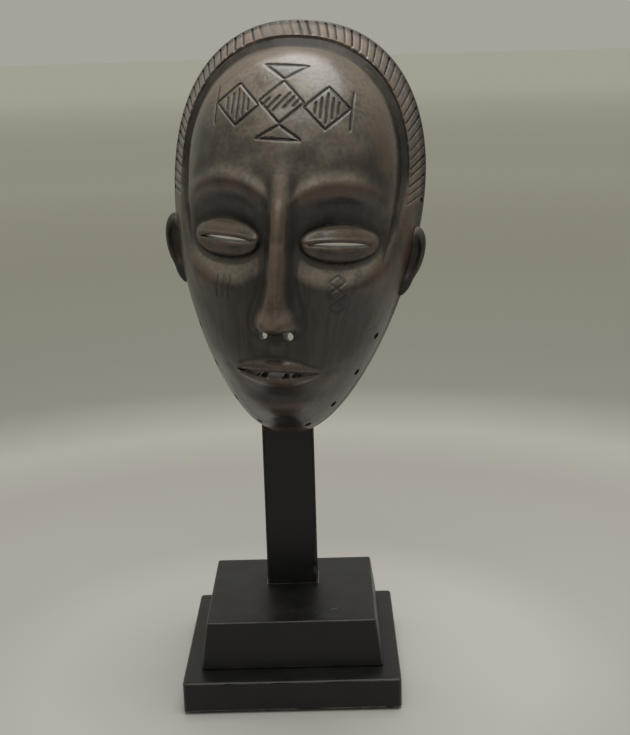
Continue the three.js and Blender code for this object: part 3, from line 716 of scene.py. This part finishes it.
def carved(ball):
    """Lifts points of a unit ball, pole forward, to the mask's own shape, in the mask's own frame."""
    ring = np.arctan2(np.hypot(ball[:, 0], ball[:, 2]), -ball[:, 1]) / math.pi * rings
    angle = np.arctan2(ball[:, 0], ball[:, 2])
    edge_x, edge_z = edge_at(angle)
    inner_x, inner_z = edge_at(angle, wood_thickness)
    outer_share = np.clip(ring / outer_rings, 0, 1)
    inner_share = np.clip((rings - ring) / inner_rings, 0, 1)
    rim_share = np.clip((ring - outer_rings) / edge_rings, 0, 1)
    outer_spread = np.sin(outer_share * math.pi / 2) ** dome_fullness
    inner_spread = np.sin(inner_share * math.pi / 2) ** dome_fullness
    outside = ring <= outer_rings + 0.01
    inside = ring >= outer_rings + edge_rings - 0.01
    x = np.where(inside, inner_x * inner_spread, edge_x * outer_spread)
    z = np.where(inside, inner_z * inner_spread, edge_z * outer_spread)
    rim = ~(outside | inside)
    x = np.where(rim, edge_x + (inner_x - edge_x) * rim_share, x)
    z = np.where(rim, edge_z + (inner_z - edge_z) * rim_share, z)
    inward = np.hypot(edge_x, edge_z) * (1 - outer_spread)
    forward = np.where(rim, -0.5 * mm * np.sin(rim_share * math.pi), 0.0)
    forward[outside] = face_forward(x[outside], z[outside])
    cut, band = band_cuts(angle[outside], inward[outside])
    forward[outside] -= 1.9 * mm * cut
    engraved = incised(x[outside], z[outside])
    forward[outside] -= 0.9 * mm * engraved * (1 - ramp(outer_spread[outside], 0.78, 0.85))
    away = ramp(inward[outside], 2 * mm, 12 * mm)
    forward[outside] += 0.16 * mm * ripple(x[outside], z[outside], 15 * mm) * away
    forward[inside] = hollow_forward(x[inside], z[inside])
    scooped = ramp(forward[inside], 3 * mm, 12 * mm)
    scoops = [noise.voronoi(Vector((a * 90, 0, b * 60)))[0][0] for a, b in zip(x[inside], z[inside])]
    forward[inside] += (0.9 * mm * (1 - 1.6 * np.array(scoops)) - 0.9 * mm) * scooped
    return np.column_stack((x, -forward, z)), ring, angle, inward


def co_array(mesh):
    return np.array([v.co for v in mesh.verts])


ball = bmesh.new()
bmesh.ops.create_uvsphere(ball, u_segments=columns, v_segments=rings, radius=1)
bmesh.ops.rotate(ball, verts=ball.verts, matrix=Matrix.Rotation(math.pi / 2, 3, "X"))
points, ring, angle, inward = carved(co_array(ball))
ball.verts.index_update()
in_band = (ring < outer_rings + 0.5) & (inward < band_width + 1 * mm) & (np.abs(angle) < band_end + 0.05)
round_band = [
    e
    for e in ball.edges
    if all(in_band[v.index] for v in e.verts) and abs(ring[e.verts[0].index] - ring[e.verts[1].index]) < 0.3
]
front = ring < outer_rings
in_motif = front & (np.abs(points[:, 0] + 3 * mm) < 41 * mm) & (np.abs(points[:, 2] - 73 * mm) < 24 * mm)
in_features = front & (np.abs(points[:, 0]) < 54 * mm) & (points[:, 2] < 12 * mm) & (points[:, 2] > -66 * mm)
in_features = in_features & (ring > 3.5)
motif_edges = [e for e in ball.edges if all(in_motif[v.index] for v in e.verts)]
feature_edges = [e for e in ball.edges if all(in_features[v.index] for v in e.verts)]
bmesh.ops.subdivide_edges(ball, edges=round_band, cuts=3, use_grid_fill=True)
bmesh.ops.subdivide_edges(ball, edges=motif_edges, cuts=2, use_grid_fill=True)
bmesh.ops.subdivide_edges(ball, edges=feature_edges, cuts=1, use_grid_fill=True)
points, ring, angle, inward = carved(co_array(ball))
for vertex, point in zip(ball.verts, points):
    vertex.co = point


def reshaped(body, tool, operation):
    """Cuts one closed mesh out of another, or joins it on."""
    pieces = []
    for mesh in (body, tool):
        data = bpy.data.meshes.new("shaping")
        mesh.to_mesh(data)
        mesh.free()
        pieces.append(bpy.data.objects.new("shaping", data))
        bpy.context.scene.collection.objects.link(pieces[-1])
    step = pieces[0].modifiers.new("shape", "BOOLEAN")
    step.operation = operation
    step.solver = "MANIFOLD"
    step.object = pieces[1]
    result = bmesh.new()
    result.from_object(pieces[0], bpy.context.evaluated_depsgraph_get())
    for piece in pieces:
        data = piece.data
        bpy.data.objects.remove(piece)
        bpy.data.meshes.remove(data)
    return result


ears = bmesh.new()
ear_level = -12 * mm
side_x, side_z = edge_at(np.linspace(0.8, 2.6, 200))
for side in (-1, 1):
    lobe = bmesh.ops.create_uvsphere(ears, u_segments=40, v_segments=28, radius=1)["verts"]
    for vertex in lobe:
        out, forward, up = vertex.co
        rim = math.hypot((out - 0.1) / 0.62, (up - 0.12) / 0.66)
        dish = 3.2 * mm * (1 - float(ramp(rim, 0.55, 1.0))) if forward < 0 else 0
        notch = 1.0 - 0.16 * math.exp(-(((up + 0.45) / 0.22) ** 2)) * max(out, 0)
        height = ear_level + 20 * mm * up - 1.5 * mm * out
        beside = float(np.interp(-height, -side_z, side_x))
        reach_out = 8 * mm * out * notch * (0.86 + 0.2 * up)
        vertex.co = (
            side * (beside + reach_out - 0.8 * mm),
            -11 * mm + 5.5 * mm * forward * (0.75 + 0.25 * up) + dish,
            height,
        )
    if side < 0:
        bmesh.ops.reverse_faces(ears, faces=list({f for v in lobe for f in v.link_faces}))
ball = reshaped(ball, ears, "UNION")

openings = bmesh.new()


def lens(x, z, half_width, half_height, sag):
    """A slit that tapers to both ends, cut along the block's depth."""
    count = 24
    outline = []
    for i in range(2 * count):
        share = 1 - 2 * (i % count) / count if i < count else -1 + 2 * (i % count) / count
        height = half_height * (1 - share * share) * (1 if i < count else -1)
        outline.append((x + share * half_width, z + height - sag * share * share))
    near = [openings.verts.new((a, -90 * mm, b)) for a, b in outline]
    far = [openings.verts.new((a, 10 * mm, b)) for a, b in outline]
    openings.faces.new(near)
    openings.faces.new(reversed(far))
    for i in range(2 * count):
        j = (i + 1) % (2 * count)
        openings.faces.new((near[j], near[i], far[i], far[j]))


eye_half_width, eye_half_height, eye_sag = 17 * mm, 1.3 * mm, 0.8 * mm
mouth_half_width, mouth_half_height, mouth_sag = 24 * mm, 1.8 * mm, 0.6 * mm
nostril_radius, nostril_side, nostril_drop = 2.6 * mm, 7 * mm, 1.5 * mm
rim_hole_radius, rim_hole_forward = 2.1 * mm, 25 * mm
hole_tilt = math.radians(40)
for side in (1, -1):
    lens(side * eye_side, eye_level, eye_half_width, eye_half_height, eye_sag)
lens(0, mouth_level, mouth_half_width, mouth_half_height, mouth_sag)
bmesh.ops.recalc_face_normals(openings, faces=openings.faces)
for side in (-1, 1):
    drilled = Matrix.Rotation(math.radians(80), 4, "X")
    nostril = (side * nostril_side, -72 * mm, nose_level - nostril_drop)
    bmesh.ops.create_cone(
        openings,
        cap_ends=True,
        segments=28,
        radius1=nostril_radius,
        radius2=nostril_radius,
        depth=144 * mm,
        matrix=Matrix.Translation(nostril) @ drilled,
    )
    for degrees, size, forward in (
        (79, 1.4 * mm, 9 * mm),
        (118, rim_hole_radius, rim_hole_forward),
        (131, rim_hole_radius, rim_hole_forward),
        (146, rim_hole_radius, rim_hole_forward),
        (163, rim_hole_radius, rim_hole_forward),
    ):
        at_x, at_z = edge_at(np.array([math.radians(degrees), math.radians(degrees) + 0.01]))
        along = Vector((at_x[1] - at_x[0], 0, at_z[1] - at_z[0])).normalized()
        inwards = Vector((along.z * side, 0, -along.x))
        if inwards.x * at_x[0] * side + inwards.z * at_z[0] > 0:
            inwards = -inwards
        inwards = inwards * math.cos(hole_tilt) + Vector((0, math.sin(hole_tilt), 0))
        drill = inwards.to_track_quat("Z", "Y").to_matrix().to_4x4()
        hole = Matrix.Translation((side * at_x[0], -forward, at_z[0])) @ drill
        bmesh.ops.create_cone(
            openings, cap_ends=True, segments=24, radius1=size, radius2=size, depth=60 * mm, matrix=hole
        )
ball = reshaped(ball, openings, "DIFFERENCE")

# What the wood's colour follows: how far each place stands proud of its surroundings, where
# the hair band and its cuts are, where fine cuts lie, which faces look into the hollow, and
# where the upper face looks up and forward, which is drawn paler, partly as a dusty bloom and
# partly as a painted sheen.
ball.verts.index_update()
ball.normal_update()
points = co_array(ball)
normals = np.array([v.normal for v in ball.verts])


def proud(x, z, reach):
    """How far the face stands proud of its surroundings there, against the square of their size."""
    around = np.zeros_like(x)
    for way in np.linspace(0, 2 * math.pi, 8, endpoint=False):
        around += face_forward(x + reach * math.cos(way), z + reach * math.sin(way)) / 8
    return (face_forward(x, z) - around) / reach**2 * mm


fine = np.clip(proud(points[:, 0], points[:, 2], 1.2 * mm) * 6, -1, 1)
broad = np.clip(proud(points[:, 0], points[:, 2], 5 * mm) * 22, -1, 1)
outline_angle, outline_spread = polar(points[:, 0], points[:, 2])
outline_x, outline_z = edge_at(outline_angle)
from_edge = np.hypot(outline_x, outline_z) * (1 - outline_spread)
is_front = normals[:, 1] < 0.3
cut, band = band_cuts(outline_angle, from_edge)
own_cuts = incised(points[:, 0], points[:, 2]) * (1 - ramp(outline_spread, 0.78, 0.85))
for name, values in (
    ("fine_relief", fine),
    ("broad_relief", broad),
    ("band", band * is_front),
    ("band_cut", cut * is_front),
    ("stroke", own_cuts * is_front),
    ("hollow", ramp(normals[:, 1], 0.1, 0.4)),
    # Upper face looking up and forward: partly a dusty bloom, partly a painted sheen.
    (
        "haze",
        ramp(0.9 * normals[:, 2] - 0.4 * normals[:, 1], 0.28, 0.8)
        * (1 - ramp(-points[:, 2], 45 * mm, 80 * mm)),
    ),
):
    layer = ball.verts.layers.float.new(name)
    for vertex, value in zip(ball.verts, values):
        vertex[layer] = float(value)

lifting = Vector(lift["axis"]).normalized()
leaving = across_bar.cross(lifting)
mask_up = (lifting - leaving).normalized()
mask_back = -(lifting + leaving).normalized()
turn = Matrix((across_bar, mask_back, mask_up)).transposed()
bar_in_mask = Vector((0, -bar_forward, bar_above_middle))
mask_middle = Vector(swing["pos_m"]) - turn @ bar_in_mask
for vertex, point in zip(ball.verts, points):
    vertex.co = turn @ Vector(point) + mask_middle
for face in ball.faces:
    face.smooth = True
for edge in ball.edges:
    if len(edge.link_faces) == 2 and edge.calc_face_angle() > math.radians(50):
        edge.smooth = False

wood = blank_material()
spot = wood.node("TexCoord", out=3)
stretched = wood.node("Mapping", None, {"Vector": spot, "Scale": (1.0, 1.0, 0.12)})
grain = wood.node("TexNoise", None, {"Vector": stretched, "Scale": 900.0, "Detail": 5.0, "Roughness": 0.6})
streaks = wood.node("TexNoise", None, {"Vector": stretched, "Scale": 260.0, "Detail": 3.0})
patches = wood.node("TexNoise", None, {"Vector": spot, "Scale": 38.0, "Detail": 5.0, "Roughness": 0.6})
speckle = wood.node("TexNoise", None, {"Vector": spot, "Scale": 420.0, "Detail": 2.0})
knife = wood.node("TexVoronoi", {"feature": "SMOOTH_F1"}, {"Vector": spot, "Scale": 95.0})
fine_relief, broad_relief, in_band_now, band_cut, stroke, hollow, haze = (
    wood.node("Attribute", {"attribute_name": name}, out=2)
    for name in ("fine_relief", "broad_relief", "band", "band_cut", "stroke", "hollow", "haze")
)
dark = patches.between(0.36, 0.66).mix(rgb(32, 28, 25), rgb(47, 41, 37))
dark = (0.5 * streaks.between(0.42, 0.62)).mix(dark, rgb(64, 54, 46))
worn = broad_relief.between(0.2, 1.0) * (0.2 + 0.8 * patches.between(0.35, 0.62))
worn = worn + fine_relief.between(0.3, 1.0) * 0.6 * speckle.between(0.35, 0.6)
mottle = 0.4 + 0.45 * patches.between(0.35, 0.62) + 0.25 * speckle.between(0.4, 0.6)
# Paler grey-brown on the upper face where it looks up and forward: partly a dusty bloom, partly a painted
# sheen.
colour = (0.95 * haze * mottle).mix(dark, rgb(125, 115, 101))
colour = (0.6 * worn.between(0.05, 1.2)).mix(colour, rgb(94, 76, 62))
ridge = in_band_now * (1 - band_cut.between(0.05, 0.45)) * (0.3 + 0.7 * patches.between(0.38, 0.58))
colour = (0.62 * ridge).mix(colour, rgb(126, 106, 94))
recess = broad_relief.maths("MAXIMUM", 0 - broad_relief, 0 - fine_relief).between(0.1, 1.0)
grime = (0.7 * recess).maths("MAXIMUM", 0.7 * recess, band_cut.between(0.2, 0.8))
grime = grime.maths("MAXIMUM", grime, 0.8 * stroke)
colour = grime.mix(colour, rgb(24, 20, 18))
colour = hollow.mix(colour, streaks.between(0.35, 0.65).mix(rgb(52, 42, 35), rgb(84, 68, 55)))
rough = 0.34 + 0.2 * patches.between(0.35, 0.7) + 0.3 * grime + 0.25 * hollow - 0.1 * worn
height = grain + 1.2 * speckle + 3.0 * knife
wood_material = finish_with(
    "mask_wood", colour, rough, height, 0.00012, Coat_Weight=0.35, Coat_Roughness=0.22
)
mask = place("mask_carving", ball, wood_material, "carving", "mask")

# ---------------------------------------------------------------------------
# The room: a pale floor, its colour painted lighter and darker in rings round the stand as painted light and
# shade, with a faint painted glow towards the horizon; soft light from above and the camera.

floor = bmesh.new()
bmesh.ops.create_circle(floor, cap_ends=True, segments=96, radius=60)
floor_data = bpy.data.meshes.new("floor")
floor.to_mesh(floor_data)
floor.free()
floor_piece = bpy.data.objects.new("floor", floor_data)
bpy.context.scene.collection.objects.link(floor_piece)
ground = blank_material()
from_middle = ground.node("VectorMath", {"operation": "LENGTH"}, {0: ground.node("TexCoord", out=3)}, out=1)
spot = ground.node("TexCoord", out=3)
weave = ground.node("TexNoise", None, {"Vector": spot, "Scale": 900.0, "Detail": 2.0})
share = from_middle.maths("DIVIDE", from_middle, 3.0)
# The floor's rings of colour are painted light and shade: pale by the stand, then darker and paler bands
# further out.
stops = [
    (0.0, rgb(188, 185, 180)[:3]),
    (0.05, rgb(185, 182, 177)[:3]),
    (0.07, rgb(172, 169, 163)[:3]),
    (0.13, rgb(169, 165, 160)[:3]),
    (0.17, rgb(181, 178, 170)[:3]),
    (0.225, rgb(149, 146, 138)[:3]),
    (0.6, rgb(158, 155, 143)[:3]),
    (1.0, rgb(160, 158, 146)[:3]),
]
# A painted glow: the floor gives off a faint light that grows with distance from the stand.
painted_glow_stops = [
    (0.0, (0.0, 0.0, 0.0)),
    (0.3, (0.0, 0.0, 0.0)),
    (0.4, (0.02, 0.02, 0.015)),
    (0.83, (0.09, 0.086, 0.072)),
    (1.0, (0.11, 0.106, 0.088)),
]
colour = share.node("ValToRGB", {"stops": stops}, {"Fac": share})
painted_glow = share.node("ValToRGB", {"stops": painted_glow_stops}, {"Fac": share})
far_away = share.between(1.0, 4.0)
painted_glow = far_away.mix(painted_glow, (0.2, 0.195, 0.165, 1))
floor_material = finish_with("floor", colour, 0.75 + 0.1 * weave, weave, 0.00001)
floor_shader = floor_material.node_tree.nodes["Principled BSDF"].inputs
floor_material.node_tree.links.new(painted_glow.socket, floor_shader["Emission Color"])
floor_shader["Emission Strength"].default_value = 1.0
floor_data.materials.append(floor_material)

camera_data = bpy.data.cameras.new("camera")
camera = bpy.data.objects.new("camera", camera_data)
bpy.context.scene.collection.objects.link(camera)
bpy.context.scene.camera = camera
camera_data.lens = 1295 / 735 * 36
camera_data.clip_start = 0.01
camera_place = Vector((25, -736, 369)) * mm
turned = Matrix.Rotation(math.radians(0.57), 3, "Z")
tipped = Matrix.Rotation(math.radians(90 - 13.83), 3, "X")
rolled = Matrix.Rotation(math.radians(-1.66), 3, "Z")
camera.matrix_world = Matrix.Translation(camera_place) @ (turned @ tipped @ rolled).to_4x4()

world = bpy.data.worlds.new("room")
bpy.context.scene.world = world
world.use_nodes = True
world.node_tree.nodes["Background"].inputs["Color"].default_value = (0.378, 0.37, 0.33, 1)
world.node_tree.nodes["Background"].inputs["Strength"].default_value = 1.0
bpy.context.scene.view_settings.view_transform = "Standard"


def soft_light(name, at, towards, size, power):
    data = bpy.data.lights.new(name, "AREA")
    data.shape = "RECTANGLE"
    data.size, data.size_y = size
    data.energy = power
    light = bpy.data.objects.new(name, data)
    bpy.context.scene.collection.objects.link(light)
    light.location = at
    light.rotation_euler = (Vector(towards) - Vector(at)).to_track_quat("-Z", "Y").to_euler()


soft_light("overhead", (0.15, 0.1, 1.55), (0, 0, 0.2), (1.3, 0.7), 14)
soft_light("front", (-0.05, -0.8, 1.35), (0, 0, 0.28), (0.9, 0.5), 3.2)
